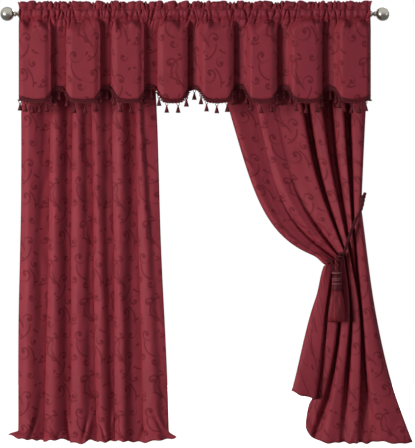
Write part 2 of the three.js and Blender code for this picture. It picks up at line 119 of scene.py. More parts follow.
def newMaterial(name):
    material = bpy.data.materials.new(name)
    material.use_nodes = True
    tree = material.node_tree
    return material, tree, tree.nodes["Principled BSDF"]


def blend(a, b, share):
    return a + (b - a) * share


def ramp(low, high, value):
    share = np.clip((np.asarray(value, float) - low) / (high - low), 0, 1)
    return share * share * (3 - 2 * share)


# Camera at the photo's straight-on angle, with a long lens
cameraSetup = {
    "picture": (415, 448),  # pixels
    "pixelSize": 4.8,  # what one pixel covers at the rod
    "rodPixel": (195, 13.9),  # the middle of the rod in the picture
    "distance": 12000,
    "sensor": 36,
}


def placeCamera(setup):
    wide, high = setup["picture"]
    pixel = setup["pixelSize"]
    rodX, rodY = setup["rodPixel"]
    data = bpy.data.cameras.new("photoCamera")
    data.sensor_fit = "VERTICAL"
    data.sensor_height = setup["sensor"]
    data.lens = setup["sensor"] * setup["distance"] / (high * pixel)
    data.clip_end = 100
    camera = bpy.data.objects.new("photoCamera", data)
    camera.location = (
        (wide / 2 - rodX) * pixel * metre,
        -setup["distance"] * metre,
        (rodY - high / 2) * pixel * metre,
    )
    camera.rotation_euler = (math.pi / 2, 0, 0)
    scene.collection.objects.link(camera)
    scene.camera = camera


placeCamera(cameraSetup)
print("camera placed")


# Soft light from the left, a weaker fill from the right, a lamp behind for the cloth's back, a pale floor
lightSetup = {
    # name, turn and rise from the aim, distance, size, watts, colour, spread
    "lamps": [
        ("key", -48, 3, 7500, 3200, 46, "#fffaf4", 60),
        ("fill", 68, 5, 7000, 3000, 26, "#f6f8ff", 180),
        ("back", 160, 25, 6000, 3000, 160, "#ffffff", 180),
    ],
    "aim": (60, 0, -1250),
    "ambient": 0.105,
    "mirrored": (0.22, 0.92),  # what metal sees below and above
    "behind": 0.34,  # and how much of it behind
    "floorSize": 9000,
    "floorColour": "#f4f3f1",
    "floorGlow": 0.95,  # keeps the floor as pale as the backdrop
    "floorGap": 0.5,
}


def placeLights(setup):
    aim = np.array(setup["aim"], float)
    for name, turn, rise, distance, size, watts, colour, spread in setup["lamps"]:
        turn = math.radians(turn)
        rise = math.radians(rise)
        away = np.array([
            math.sin(turn) * math.cos(rise),
            -math.cos(turn) * math.cos(rise),
            math.sin(rise),
        ])
        data = bpy.data.lights.new(name + "Lamp", "AREA")
        data.shape = "DISK"
        data.size = size * metre
        data.energy = watts
        data.color = linearColour(colour)[:3]
        data.spread = math.radians(spread)
        lampObject = bpy.data.objects.new(name + "Lamp", data)
        lampObject.location = (aim + away * distance) * metre
        lampObject.rotation_euler = (math.pi / 2 - rise, 0, turn)
        scene.collection.objects.link(lampObject)


def makeWorld(setup):
    world = bpy.data.worlds.new("paleStudio")
    world.use_nodes = True
    scene.world = world
    tree = world.node_tree
    tree.nodes.clear()
    rays = addNode(tree, "ShaderNodeLightPath", {}, {}).outputs
    way = addNode(tree, "ShaderNodeTexCoord", {}, {}).outputs["Generated"]
    _, depth, height = addNode(tree, "ShaderNodeSeparateXYZ", {}, {0: way}).outputs
    upright = mapped(tree, height, (-0.5, 0.5), setup["mirrored"], "SMOOTHSTEP")
    mirrored = mapped(tree, depth, (1, 0.1), (setup["behind"], upright), "SMOOTHSTEP")
    glossy = mapped(tree, rays["Is Glossy Ray"], (0, 1), (setup["ambient"], mirrored))
    strength = mapped(tree, rays["Is Camera Ray"], (0, 1), (glossy, 1))
    white = addNode(tree, "ShaderNodeBackground", {}, {"Color": (1, 1, 1, 1), "Strength": strength})
    addNode(tree, "ShaderNodeOutputWorld", {}, {"Surface": white.outputs[0]})
    scene.view_settings.view_transform = "Standard"


# Matt painted floor: a pale plain surface with only soft contact shadows
def makeFloor(setup):
    material, tree, shader = newMaterial("mattPaintedFloor")
    colour = linearColour(setup["floorColour"])
    setInputs(tree, shader, {
        "Base Color": colour,
        "Roughness": 0.9,
        "Emission Color": colour,
        "Emission Strength": setup["floorGlow"],
    })
    half = setup["floorSize"] / 2 * metre
    z = cadBox[0][2] - setup["floorGap"] * metre
    mesh = bpy.data.meshes.new("studioFloor")
    corners = [(-half, -half, z), (half, -half, z), (half, half, z), (-half, half, z)]
    mesh.from_pydata(corners, [], [(0, 1, 2, 3)])
    mesh.materials.append(material)
    floor = bpy.data.objects.new("studioFloor", mesh)
    floor.visible_diffuse = False  # the glow doesn't light the cloth from below
    floor.visible_glossy = False
    scene.collection.objects.link(floor)


placeLights(lightSetup)
makeWorld(lightSetup)
makeFloor(lightSetup)
print("studio lit")


# Meshes from grids, sections and paths
def pointsFrom(x, y, z):
    return np.stack(np.broadcast_arrays(x, y, z), axis=-1)


def gridFaces(index):
    a, b = index[:-1, :-1], index[1:, :-1]
    c, d = index[1:, 1:], index[:-1, 1:]
    return np.stack([a, b, c, d], axis=-1).reshape(-1, 4)


def thickCloth(grid, thickness):
    rows, columns = grid.shape[:2]
    across = np.gradient(grid, axis=1)
    down = np.gradient(grid, axis=0)
    normal = np.cross(down, across)
    normal /= np.linalg.norm(normal, axis=2, keepdims=True)
    half = normal * thickness / 2
    index = np.arange(rows * columns).reshape(rows, columns)
    behind = rows * columns
    front = gridFaces(index)
    rim = np.concatenate([index[0, :-1], index[:-1, -1], index[-1, :0:-1], index[:0:-1, 0]])
    after = np.roll(rim, -1)
    edge = np.stack([rim, after, after + behind, rim + behind], axis=-1)
    faces = np.concatenate([front, front[:, ::-1] + behind, edge])
    points = np.concatenate([(grid + half).reshape(-1, 3), (grid - half).reshape(-1, 3)])
    return points, faces


def joined(parts):
    points = []
    faces = []
    start = 0
    for partPoints, partFaces in parts:
        points.append(partPoints)
        faces.extend([[int(i) + start for i in face] for face in partFaces])
        start += len(partPoints)
    return np.concatenate(points), faces


def loft(rings):
    rings = np.asarray(rings, float)
    count, sides = rings.shape[:2]
    index = np.arange(count * sides).reshape(count, sides)
    wrapped = np.concatenate([index, index[:, :1]], axis=1)
    faces = [list(face) for face in gridFaces(wrapped)]
    faces += [list(index[0]), list(index[-1, ::-1])]
    return rings.reshape(-1, 3), faces


def turned(profile, sides, flutes=0, fluteDepth=0.0):
    angles = np.linspace(0, 2 * math.pi, sides, endpoint=False)
    fluted = 1 + fluteDepth * np.cos(flutes * angles)
    rings = []
    for radius, z in profile:
        wave = radius * fluted
        rings.append(pointsFrom(wave * np.cos(angles), wave * np.sin(angles), z))
    return loft(rings[::-1] if profile[0][1] < profile[-1][1] else rings)


# Two directions square to a path, carried along it without twisting
def pathSides(path):
    along = np.gradient(path, axis=0)
    along /= np.linalg.norm(along, axis=1, keepdims=True)
    side = np.zeros_like(path)
    first = np.cross(along[0], [0.0, 1.0, 0.0])
    if np.linalg.norm(first) < 0.1:
        first = np.cross(along[0], [1.0, 0.0, 0.0])
    side[0] = first / np.linalg.norm(first)
    for i in range(1, len(path)):
        moved = side[i - 1] - along[i] * np.dot(side[i - 1], along[i])
        side[i] = moved / np.linalg.norm(moved)
    return side, np.cross(along, side)


def tube(path, radius, sides):
    path = np.asarray(path, float)
    side, up = pathSides(path)
    angles = np.linspace(0, 2 * math.pi, sides, endpoint=False)
    ring = side[:, None] * np.cos(angles)[None, :, None] - up[:, None] * np.sin(angles)[None, :, None]
    return loft(path[:, None] + ring * radius)


# The length run from a path's start to each of its points
def runAlong(path):
    return np.concatenate([[0], np.cumsum(np.linalg.norm(np.diff(path, axis=0), axis=1))])


def spotAt(path, run, at):
    return np.array([np.interp(at, run, path[:, i]) for i in range(3)])


def evenly(path, count):
    run = runAlong(path)
    wanted = np.linspace(0, run[-1], count)
    return np.stack([np.interp(wanted, run, path[:, i]) for i in range(path.shape[1])], axis=1)


# A smooth curve through points, sampled evenly along its length
def smoothCurve(points, count, spanSteps=40):
    points = np.asarray(points, float)
    padded = np.concatenate([[2 * points[0] - points[1]], points, [2 * points[-1] - points[-2]]])
    gaps = np.sqrt(np.linalg.norm(np.diff(padded, axis=0), axis=1))
    samples = []
    for k in range(1, len(padded) - 2):
        p0, p1, p2, p3 = padded[k - 1:k + 3]
        d0, d1, d2 = gaps[k - 1:k + 2]
        start = ((p1 - p0) / d0 - (p2 - p0) / (d0 + d1) + (p2 - p1) / d1) * d1
        end = ((p2 - p1) / d1 - (p3 - p1) / (d1 + d2) + (p3 - p2) / d2) * d1
        t = np.linspace(0, 1, spanSteps, endpoint=False)[:, None]
        samples.append(
            (2 * t ** 3 - 3 * t ** 2 + 1) * p1 + (t ** 3 - 2 * t ** 2 + t) * start
            + (3 * t ** 2 - 2 * t ** 3) * p2 + (t ** 3 - t ** 2) * end
        )
    return evenly(np.concatenate(samples + [points[-1:]]), count)


def addPiece(name, shape, material, replaced=()):
    points, faces = shape
    mesh = bpy.data.meshes.new(name)
    mesh.from_pydata((np.asarray(points) * metre).tolist(), [], [list(map(int, face)) for face in faces])
    mesh.polygons.foreach_set("use_smooth", [True] * len(mesh.polygons))
    mesh.materials.append(material)
    mesh.update()
    piece = bpy.data.objects.new(name, mesh)
    scene.collection.objects.link(piece)
    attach(piece, "root")
    if replaced:
        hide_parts(*replaced)
    return piece


# The place of every point on the flat cloth, which the woven figure follows. Its width comes from
# the rows around, as far as the window reaches, or else from the mean of the rows from firstRow down.
def flatPlaces(grid, firstRow, gathered, window):
    steps = np.linalg.norm(np.diff(grid, axis=1), axis=2)
    if window:
        near = np.ones(2 * window + 1) / (2 * window + 1)
        padded = np.pad(steps, ((window, window), (0, 0)), "edge")
        steps = np.stack([np.convolve(column, near, "valid") for column in padded.T], axis=1)
    else:
        steps = np.broadcast_to(steps[firstRow:].mean(axis=0), steps.shape)
    across = np.cumsum(steps, axis=1)
    across = np.concatenate([np.zeros((len(across), 1)), across], axis=1)
    middle = across[:, [across.shape[1] // 2]]
    across = across - middle + middle.mean()
    drops = np.linalg.norm(np.diff(grid, axis=0), axis=2)
    if gathered:
        drops[:] = drops.mean(axis=1, keepdims=True)
    down = np.concatenate([np.zeros((1, grid.shape[1])), np.cumsum(drops, axis=0)])
    return pointsFrom(across, -down, 0)


def addCloth(name, grid, thickness, replaced, firstRow=0, gathered=False, window=0):
    piece = addPiece(name, thickCloth(grid, thickness), jacquardCloth, [replaced])
    places = flatPlaces(grid, firstRow, gathered, window).reshape(-1, 3) * metre
    layer = piece.data.attributes.new("flatPlace", "FLOAT_VECTOR", "POINT")
    layer.data.foreach_set("vector", np.concatenate([places, places]).ravel())
    return piece


# The way from one fold line to the next: level at a round crest, straight into a sharp crease
def turnOver(share, fromRound, toRound):
    if fromRound and toRound:
        return ramp(0, 1, share)
    if fromRound:
        return 1 - np.cos(share * math.pi / 2)
    if toRound:
        return np.sin(share * math.pi / 2)
    return share


def foldedGrid(lines, rounds, steps):
    blocks = []
    share = np.arange(steps) / steps
    for k in range(lines.shape[1] - 1):
        a = lines[:, k, None, :]
        b = lines[:, k + 1, None, :]
        block = a + (b - a) * share[None, :, None]
        block[:, :, 1] = a[:, :, 1] + (b - a)[:, :, 1] * turnOver(share, rounds[k], rounds[k + 1])[None, :]
        blocks.append(block)
    blocks.append(lines[:, -1:, :])
    return np.concatenate(blocks, axis=1)


def softened(grid, passes):
    grid = grid.copy()
    for _ in range(passes):
        grid[:, 1:-1] = 0.25 * grid[:, :-2] + 0.5 * grid[:, 1:-1] + 0.25 * grid[:, 2:]
    return grid


# Slack in the cloth: long uneven swells that break up the straight run of the folds
def addSlack(grid, depth):
    x, z = grid[:, :, 0], grid[:, :, 2]
    drift = 0.9 * np.sin(z / 83 + x / 140) + 0.7 * np.sin(z / 41 - x / 95 + 2)
    swell = np.sin(x / 21 + 2.2 * np.sin(z / 230) + drift) * np.sin(z / 118 + x / 37)
    fine = np.sin(x / 9 + 1.7 * drift) * np.sin(z / 67 - x / 29 + 1)
    free = ramp(120, 420, -z)
    grid[:, :, 1] += depth * free * (swell + 0.5 * fine)


# A crease is a soft trough or ridge along a leaning line: x, z, half width, half length, lean, depth
def addCreases(grid, creases):
    for x, z, halfWidth, halfLength, lean, depth in creases:
        down = grid[:, :, 2] - z
        aside = grid[:, :, 0] - x - lean * down
        grid[:, :, 1] += depth * np.exp(-(aside / halfWidth) ** 2 - (down / halfLength) ** 2)


# The hem's edge ripples a little and rolls under
hemEdge = {
    "wave": 8.5,
    "drift": 61,
    "rise": (0.15, 0.35, 0.6, 0.85, 1.0),  # share of the ripple in the last rows
    "roll": (0, 5, 2),
}


def finishHem(grid, height):
    x = grid[-1, :, 0]
    ripple = height * (0.5 + 0.5 * np.sin(x / hemEdge["wave"] + 2 * np.sin(x / hemEdge["drift"])))
    for row, share in enumerate(hemEdge["rise"], -len(hemEdge["rise"])):
        grid[row, :, 1] += share * ripple
        grid[row, :, 2] += share * ripple
    grid[-1] += hemEdge["roll"]


# Polyester jacquard, woven: a satin ground with a darker scroll figure, a soft sheen and a fine rib
jacquard = {
    "ground": "#a83e4d",
    "figure": "#862b38",
    "repeat": (226, 372),  # one repeat of the figure, with half a drop in every second row
    "stroke": 7.4,  # real strokes are 5 to 8 wide
    "soft": 3.0,
    "swell": (1.5, 0.55),  # share of the stroke's width at a scroll's heart and at its rim
    "heart": 0.15,  # the heart's share of the radius
    "fade": 0.45,  # from this share of the radius the scroll fades out to its rim
    "budSoft": 1.5,
    "stemEnd": 0.12,
    "leafSoft": 0.25,
    # centre x and y in the repeat, radius, gap between turns, hand, turn of the start, radius of the bud
    "scrolls": [
        (-36, 118, 52, 42, 1, 0.20, 9), (58, 44, 42, 35, -1, 0.62, 8),
        (-52, -30, 46, 38, -1, 0.95, 9), (34, -112, 54, 44, 1, 0.40, 9),
        (72, 150, 30, 26, -1, 0.10, 7), (-82, -136, 32, 27, 1, 0.55, 7),
        (88, -62, 32, 27, 1, 0.75, 7), (-88, 46, 28, 24, -1, 0.30, 7), (8, 40, 26, 23, 1, 0.85, 6),
        (-22, -162, 30, 26, -1, 0.05, 6),
    ],
    # centre x and y, radius, middle angle in degrees, half angle
    "stems": [
        (30, 84, 62, 150, 58), (-8, 20, 74, 322, 44), (-2, -74, 66, 214, 50), (92, -60, 44, 30, 66),
        (-96, 64, 46, 250, 60), (-60, -40, 104, 52, 34), (84, 96, 92, 208, 30),
        (10, -150, 80, 20, 40),
    ],
    # centre x and y, half length, half width, turn in degrees
    "leaves": [
        (8, 158, 11, 5, 30), (16, 140, 8, 4, -50), (100, 98, 10, 5, -40), (-98, 24, 11, 5, 70),
        (88, -8, 9, 5, 20), (6, -20, 10, 5, -60), (20, -34, 8, 4, 20), (-24, -176, 10, 5, 40),
        (98, -150, 10, 5, -20), (-100, -84, 8, 5, 0),
    ],
    "rib": 3.2,  # the real rib is under 1 and is drawn coarser, so that it shows
    "ribShade": (0.95, 1.03),
    "ribRelief": 0.35,
    "cloud": 90,  # size of the faint unevenness of the dye
    "cloudShade": (0.92, 1.06),
    "roughness": (0.56, 0.68),  # of the ground and of the figure
}


def wovenFigure(tree, place, setup):
    wide, high = setup["repeat"]
    edge = setup["stroke"] / 2
    soft = setup["soft"]
    flatX, flatY, _ = addNode(tree, "ShaderNodeSeparateXYZ", {}, {0: place}).outputs
    column = maths(tree, "ROUND", maths(tree, "DIVIDE", flatX, wide))
    drop = maths(tree, "MULTIPLY_ADD", maths(tree, "PINGPONG", column, 1), high / 2, flatY)
    tileX = maths(tree, "WRAP", flatX, wide / 2, -wide / 2)
    tileY = maths(tree, "WRAP", drop, high / 2, -high / 2)
    tile = addNode(tree, "ShaderNodeCombineXYZ", {}, {0: tileX, 1: tileY}).outputs[0]
    masks = []

    def fromCentre(x, y):
        local = vectorMaths(tree, "SUBTRACT", tile, (x, y, 0))
        return local, vectorMaths(tree, "LENGTH", local)

    for x, y, radius, gap, hand, start, budRadius in setup["scrolls"]:
        local, far = fromCentre(x, y)
        localX, localY, _ = addNode(tree, "ShaderNodeSeparateXYZ", {}, {0: local}).outputs
        angle = maths(tree, "ARCTAN2", localY, localX)
        turns = maths(tree, "MULTIPLY_ADD", angle, hand / (2 * math.pi), start)
        phase = maths(tree, "MULTIPLY_ADD", far, 1 / gap, turns)
        offset = maths(tree, "ABSOLUTE", maths(tree, "WRAP", phase, 0.5, -0.5))
        widths = [share * edge / gap for share in setup["swell"]]
        swell = mapped(tree, far, (setup["heart"] * radius, radius), widths)
        stroke = smoothly(tree, maths(tree, "SUBTRACT", swell, offset), -soft / gap, soft / gap)
        inside = smoothly(tree, far, radius, setup["fade"] * radius)
        bud = smoothly(tree, far, budRadius + setup["budSoft"], budRadius - setup["budSoft"])
        masks += [maths(tree, "MULTIPLY", stroke, inside), bud]
    for x, y, radius, middle, half in setup["stems"]:
        local, far = fromCentre(x, y)
        unit = vectorMaths(tree, "NORMALIZE", local)
        way = math.radians(middle)
        facing = vectorMaths(tree, "DOT_PRODUCT", unit, (math.cos(way), math.sin(way), 0))
        reach = math.cos(math.radians(half))
        held = smoothly(tree, facing, reach, reach + setup["stemEnd"])
        offset = maths(tree, "ABSOLUTE", maths(tree, "SUBTRACT", far, radius))
        stroke = smoothly(tree, offset, edge + soft, edge - soft)
        masks.append(maths(tree, "MULTIPLY", stroke, held))
    for x, y, halfLength, halfWidth, turn in setup["leaves"]:
        local, _ = fromCentre(x, y)
        spun = addNode(
            tree, "ShaderNodeVectorRotate", {"rotation_type": "Z_AXIS"},
            {"Vector": local, "Angle": math.radians(turn)},
        ).outputs[0]
        squeezed = vectorMaths(tree, "MULTIPLY", spun, (1 / halfLength, 1 / halfWidth, 0))
        far = vectorMaths(tree, "LENGTH", squeezed)
        masks.append(smoothly(tree, far, 1 + setup["leafSoft"], 1 - setup["leafSoft"]))
    figure = masks[0]
    for mask in masks[1:]:
        figure = maths(tree, "MAXIMUM", figure, mask)
    return figure


def makeJacquard(setup):
    material, tree, shader = newMaterial("wovenPolyesterJacquard")
    place = addNode(tree, "ShaderNodeAttribute", {"attribute_name": "flatPlace"}, {}).outputs["Vector"]
    place = scaled(tree, place, 1 / metre)
    figure = wovenFigure(tree, place, setup)
    cloudy = noise(tree, place, setup["cloud"], 3)
    bandLength = 0.31  # of the wave texture at scale 1
    ribs = addNode(
        tree, "ShaderNodeTexWave", {"bands_direction": "Y"},
        {"Vector": place, "Scale": bandLength / setup["rib"], "Distortion": 0.6, "Detail": 1.0},
    ).outputs["Fac"]
    tint = mixed(tree, figure, setup["ground"], setup["figure"])
    cloudShade = mapped(tree, cloudy, (0.3, 0.7), setup["cloudShade"])
    ribShade = mapped(tree, ribs, (0, 1), setup["ribShade"])
    relief = maths(tree, "MULTIPLY_ADD", ribs, setup["ribRelief"], figure)
    setInputs(tree, shader, {
        "Base Color": scaled(tree, tint, maths(tree, "MULTIPLY", cloudShade, ribShade)),
        "Roughness": mapped(tree, figure, (0, 1), setup["roughness"]),
        "Normal": bumped(tree, relief, 0.25, 0.8),
        "Specular IOR Level": 0.16,
        "Sheen Weight": 0.06,
        "Sheen Roughness": 0.45,
        "Sheen Tint": linearColour("#e08088"),
    })
    return material


# Rayon yarn, twisted or spun: a dense dark red with a painted sheen, a lighter silky streak along each
# thread mixed into its colour
def makeYarn(name, colour, deep, threadSize, roughness, stretch=4.5):
    material, tree, shader = newMaterial(name)
    place = addNode(tree, "ShaderNodeTexCoord", {}, {}).outputs["Object"]
    place = vectorMaths(tree, "MULTIPLY", place, (1 / metre, 1 / metre, 1 / stretch / metre))
    threads = noise(tree, place, threadSize, 2)
    # painted sheen: the stretched noise lifts the dark red towards the lighter red in streaks along the
    # threads
    share = mapped(tree, threads, (0.35, 0.65))
    setInputs(tree, shader, {
        "Base Color": mixed(tree, share, deep, colour),
        "Roughness": mapped(tree, threads, (0, 1), (roughness - 0.1, roughness + 0.1)),
        "Normal": bumped(tree, threads, 0.4, 0.6),
        "Specular IOR Level": 0.16,
        "Sheen Weight": 0.04,
        "Sheen Roughness": 0.5,
        "Sheen Tint": linearColour("#d06a72"),
    })
    return material


# Nickel plate on turned steel, brushed: warm grey, bright along the light and faintly streaked
nickel = {"colour": "#b9b5ab", "streak": 1.4, "roughness": (0.18, 0.34)}


def makeNickel(setup):
    material, tree, shader = newMaterial("brushedNickelPlate")
    place = addNode(tree, "ShaderNodeTexCoord", {}, {}).outputs["Object"]
    place = vectorMaths(tree, "MULTIPLY", place, (1 / metre, 0.15 / metre, 0.15 / metre))
    streaks = noise(tree, place, setup["streak"], 2)
    setInputs(tree, shader, {
        "Base Color": linearColour(setup["colour"]),
        "Metallic": 1.0,
        "Roughness": mapped(tree, streaks, (0, 1), setup["roughness"]),
        "Normal": bumped(tree, streaks, 0.08, 0.3),
    })
    return material


jacquardCloth = makeJacquard(jacquard)
braidYarn = makeYarn("braidedRayonGimp", "#70222d", "#430f17", 2.2, 0.5)
smallYarn = makeYarn("spunRayonSmallTassels", "#84303b", "#4c141d", 2.2, 0.5)
loopYarn = makeYarn("loopedRayonGimp", "#84343f", "#561822", 2.0, 0.5)
ropeYarn = makeYarn("twistedRayonRope", "#66202b", "#380c14", 2.0, 0.5)
skirtYarn = makeYarn("spunRayonTasselSkirt", "#ac3c4a", "#5c1822", 4.2, 0.5, 24)
ringYarn = makeYarn("woundRayonTasselRings", "#a2646a", "#7c3d44", 1.4, 0.45)
cordYarn = makeYarn("twistedRayonTasselCord", "#84333e", "#5a1a24", 1.6, 0.5)
nickelPlate = makeNickel(nickel)
print("materials made")


# The left panel hangs straight in six pleats and breaks on the floor
panelTop = {"y": 4.4, "z": -22.4, "gather": 150}
leftPanel = {
    "flat": (1067, 2134),
    "thickness": 1.8,
    "floorZ": -2070,
    "highZ": -557,
    "lowZ": -1887,
    # x at the high level, x at the low level, depth, lift of the hem, lap over the neighbour,
    # round crest or sharp crease
    "folds": [
        (-836, -852, 40, 44, 0, 0),
        (-794, -806, 8, 25, 0, 1),
        (-737, -751, 38, 18, 0, 0),
        (-692, -718, 50, 14, 6, 0),
        (-690, -716, 30, 12, -6, 0),
        (-664, -676, 8, 20, 0, 1),
        (-622, -626, 44, 22, 0, 0),
        (-589, -596, 54, 10, 6, 0),
        (-587, -594, 32, 8, -6, 0),
        (-560, -552, 12, 0, 0, 1),
        (-526, -506, 38, 18, 0, 0),
        (-493, -474, 50, 12, 6, 0),
        (-491, -472, 30, 11, -6, 0),
        (-470, -441, 10, 9, 0, 1),
        (-434, -410, 38, 12, 0, 0),
        (-394, -382, 48, 16, 6, 0),
        (-392, -380, 28, 15, -6, 0),
        (-358, -348, 7, 14, 0, 1),
        (-319, -312, 42, 10, 0, 0),
        (-282, -248, 54, 5, 6, 0),
        (-280, -246, 34, 6, -6, 0),
        (-262, -192, 16, 20, 0, 1),
        (-236, -150, 34, 22, 0, 1),
        (-183, -131, 38, 32, 0, 0),
    ],
    "breakZ": -1985,
    "kick": 24,
    "leftFlick": 46,
    "rightFlick": 36,
    "sway": 2.5,
    "swayWave": 190,
    "slack": 2.4,
    "ripple": 6,
    "steps": 7,
    "rows": (128, 36),  # above and below the level from which they lie closer
    "closerZ": -1930,
    "gatheredRows": 30,  # left out where the cloth's width is measured for its figure
    # x, z, half width, half length, lean, depth
    "creases": [
        (-778, -1984, 7, 52, 0.30, 17), (-800, -1990, 11, 56, 0.30, -9),
        (-660, -2030, 8, 30, 0.30, 11), (-612, -1996, 7, 46, -0.12, 11),
        (-532, -2007, 7, 50, 0.20, 17), (-512, -2004, 10, 50, 0.20, -9),
        (-440, -2016, 8, 36, -0.30, 11), (-376, -1936, 7, 34, 0.08, 13),
        (-394, -1948, 9, 38, 0.10, -8), (-340, -2034, 34, 8, 0.00, 8),
        (-250, -2008, 8, 42, 0.35, 12), (-182, -1962, 7, 38, -0.45, 14),
        (-160, -1966, 9, 38, -0.45, -8), (-745, -620, 10, 120, 0.05, -4),
        (-520, -1100, 14, 220, 0.04, -4), (-330, -1420, 14, 200, -0.05, 5),
    ],
}


def hangLeftPanel(setup):
    folds = np.array(setup["folds"], float)
    upper, lower = setup["rows"]
    levels = np.concatenate([
        np.linspace(panelTop["z"], setup["closerZ"], upper),
        np.linspace(setup["closerZ"], setup["floorZ"], lower)[1:],
    ])
    z = levels[:, None]
    fall = (setup["highZ"] - z) / (setup["highZ"] - setup["lowZ"])
    flare = ramp(-setup["breakZ"], -setup["floorZ"], -z)
    place = np.linspace(0, 1, len(folds))[None, :]
    flick = blend(-setup["leftFlick"], setup["rightFlick"], place) * np.abs(2 * place - 1) ** 5
    sway = setup["sway"] * np.sin(z / setup["swayWave"] + 2.1 * np.arange(len(folds))[None, :])
    folded = ramp(0, panelTop["gather"], panelTop["z"] - z)
    x = blend(folds[:, 0], folds[:, 1], fall) + folded * folds[:, 4] + flare ** 3 * flick + sway
    y = blend(panelTop["y"], folds[:, 2], folded) - flare * setup["kick"]
    lines = pointsFrom(x, y, z + flare * folds[:, 3])
    grid = softened(foldedGrid(lines, folds[:, 5], setup["steps"]), 2)
    addCreases(grid, setup["creases"])
    addSlack(grid, setup["slack"])
    finishHem(grid, setup["ripple"])
    piece = addCloth("panelLeftCloth", grid, setup["thickness"], "panel_left", setup["gatheredRows"])


# The right panel is drawn aside: every fold line swings down to the tie and opens out again under it
rightPanel = {
    "flat": (1067, 2134),
    "thickness": 1.8,
    # share at the top, share along the tie, x at knee and shin, hem x and z,
    # depth under the valance, at the tie, at the knee and at the hem, round or sharp
    "folds": [
        (0.00, 0.00, 560, 474, 461, -1810, 34, 6, 0, -24, 0),
        (0.03, 0.03, 581, 497, 490, -1827, 14, -16, -18, -36, 1),
        (0.13, 0.06, 607, 550, 528, -1840, 24, -10, -22, -34, 1),
        (0.19, 0.11, 624, 585, 574, -1848, 32, -4, -22, -28, 1),
        (0.21, 0.13, 631, 593, 583, -1850, 34, 22, 12, 8, 0),
        (0.22, 0.16, 635, 597, 550, -1862, 28, 14, 12, 22, 0),
        (0.23, 0.19, 648, 606, 528, -1992, 18, -8, -6, 24, 1),
        (0.32, 0.23, 688, 634, 552, -2030, 24, -6, -12, 20, 1),
        (0.34, 0.245, 695, 643, 568, -2042, 28, 28, 52, 46, 0),
        (0.36, 0.26, 700, 657, 586, -2050, 28, 28, 52, 46, 0),
        (0.43, 0.33, 712, 674, 626, -2068, 22, -10, -8, 8, 1),
        (0.52, 0.41, 740, 711, 688, -2064, 12, -18, -14, 12, 1),
        (0.54, 0.42, 745, 719, 700, -2062, 94, 36, 56, 28, 0),
        (0.58, 0.44, 751, 735, 724, -2063, 96, 36, 56, 28, 0),
        (0.60, 0.47, 757, 751, 744, -2069, 16, -10, -4, 14, 1),
        (0.66, 0.54, 787, 793, 778, -2068, 6, -18, -14, 8, 1),
        (0.68, 0.55, 790, 797, 786, -2062, 94, 36, 70, 30, 0),
        (0.75, 0.59, 793, 804, 804, -2066, 96, 38, 72, 32, 0),
        (0.77, 0.64, 795, 810, 822, -2070, 16, -10, 71, 31, 1),
        (0.82, 0.70, 797, 815, 836, -2069, 6, -18, 72, 32, 1),
        (0.84, 0.71, 799, 820, 846, -2064, 94, 36, 72, 32, 0),
        (0.88, 0.75, 801, 827, 874, -2058, 96, 38, 68, 28, 0),
        (0.90, 0.80, 807, 839, 902, -2056, 14, -10, -8, -2, 1),
        (0.95, 0.91, 842, 893, 962, -2070, 8, -14, -14, -10, 1),
        (1.00, 0.99, 866, 943, 1045, -2061, 24, 14, 14, -4, 0),
    ],
    "kneeZ": -1423,
    "shinZ": -1769,
    "top": {
        "left": 22, "leftLean": 0.368, "leftReach": 720,
        "right": 843, "rightLean": -0.05, "rightReach": 648,
    },
    "swag": {
        "angle": 78.6,
        "outerAngle": 2.6,
        "fade": 2.14,
        "reach": 421,
        "belly": 24,
        "drawn": 0.5,  # the folds keep their depth down to here
        "pouchTie": 0.12,  # the lowest fold rolls over the rope's end, up to here along the tie
        "pouchAt": 0.978,
        "pouchWidth": 0.026,
        "pouchY": -68,
        "pouchDrop": 26,
    },
    "knee": 0.3,  # the folds are deepest from here
    "shin": 0.5,  # to here, and open out below
    # how far the leading edge stands out under the tie, how soon that fades along the tie,
    # and where it starts, is widest and ends on the way down
    "hip": (20, 0.15, 0.022, 0.042, 0.3),
    "tieLine": [(648, -1184), (722, -1160), (800, -925)],  # a curve pulled towards its middle point
    "rowsAbove": 112,
    "rowsBelow": 84,
    "steps": 7,
    "rounding": 5,  # passes that make the folds rounder towards the hem
    "roundFrom": 0.15,
    "roundOver": 0.8,
    "ripple": 4,
    "window": 16,  # rows each way over which the cloth's width is evened out for its figure
    # x, z, half width, half length, lean, depth
    "creases": [
        (560, -1110, 9, 60, 0.75, 6), (610, -1120, 7, 50, 0.70, -5), (640, -1080, 8, 60, 0.55, 6),
        (680, -1060, 7, 70, 0.40, 5), (560, -1960, 14, 60, -0.20, 6),
        (760, -2010, 12, 50, 0.20, -6), (950, -2010, 18, 60, 0.35, 7),
    ],
}


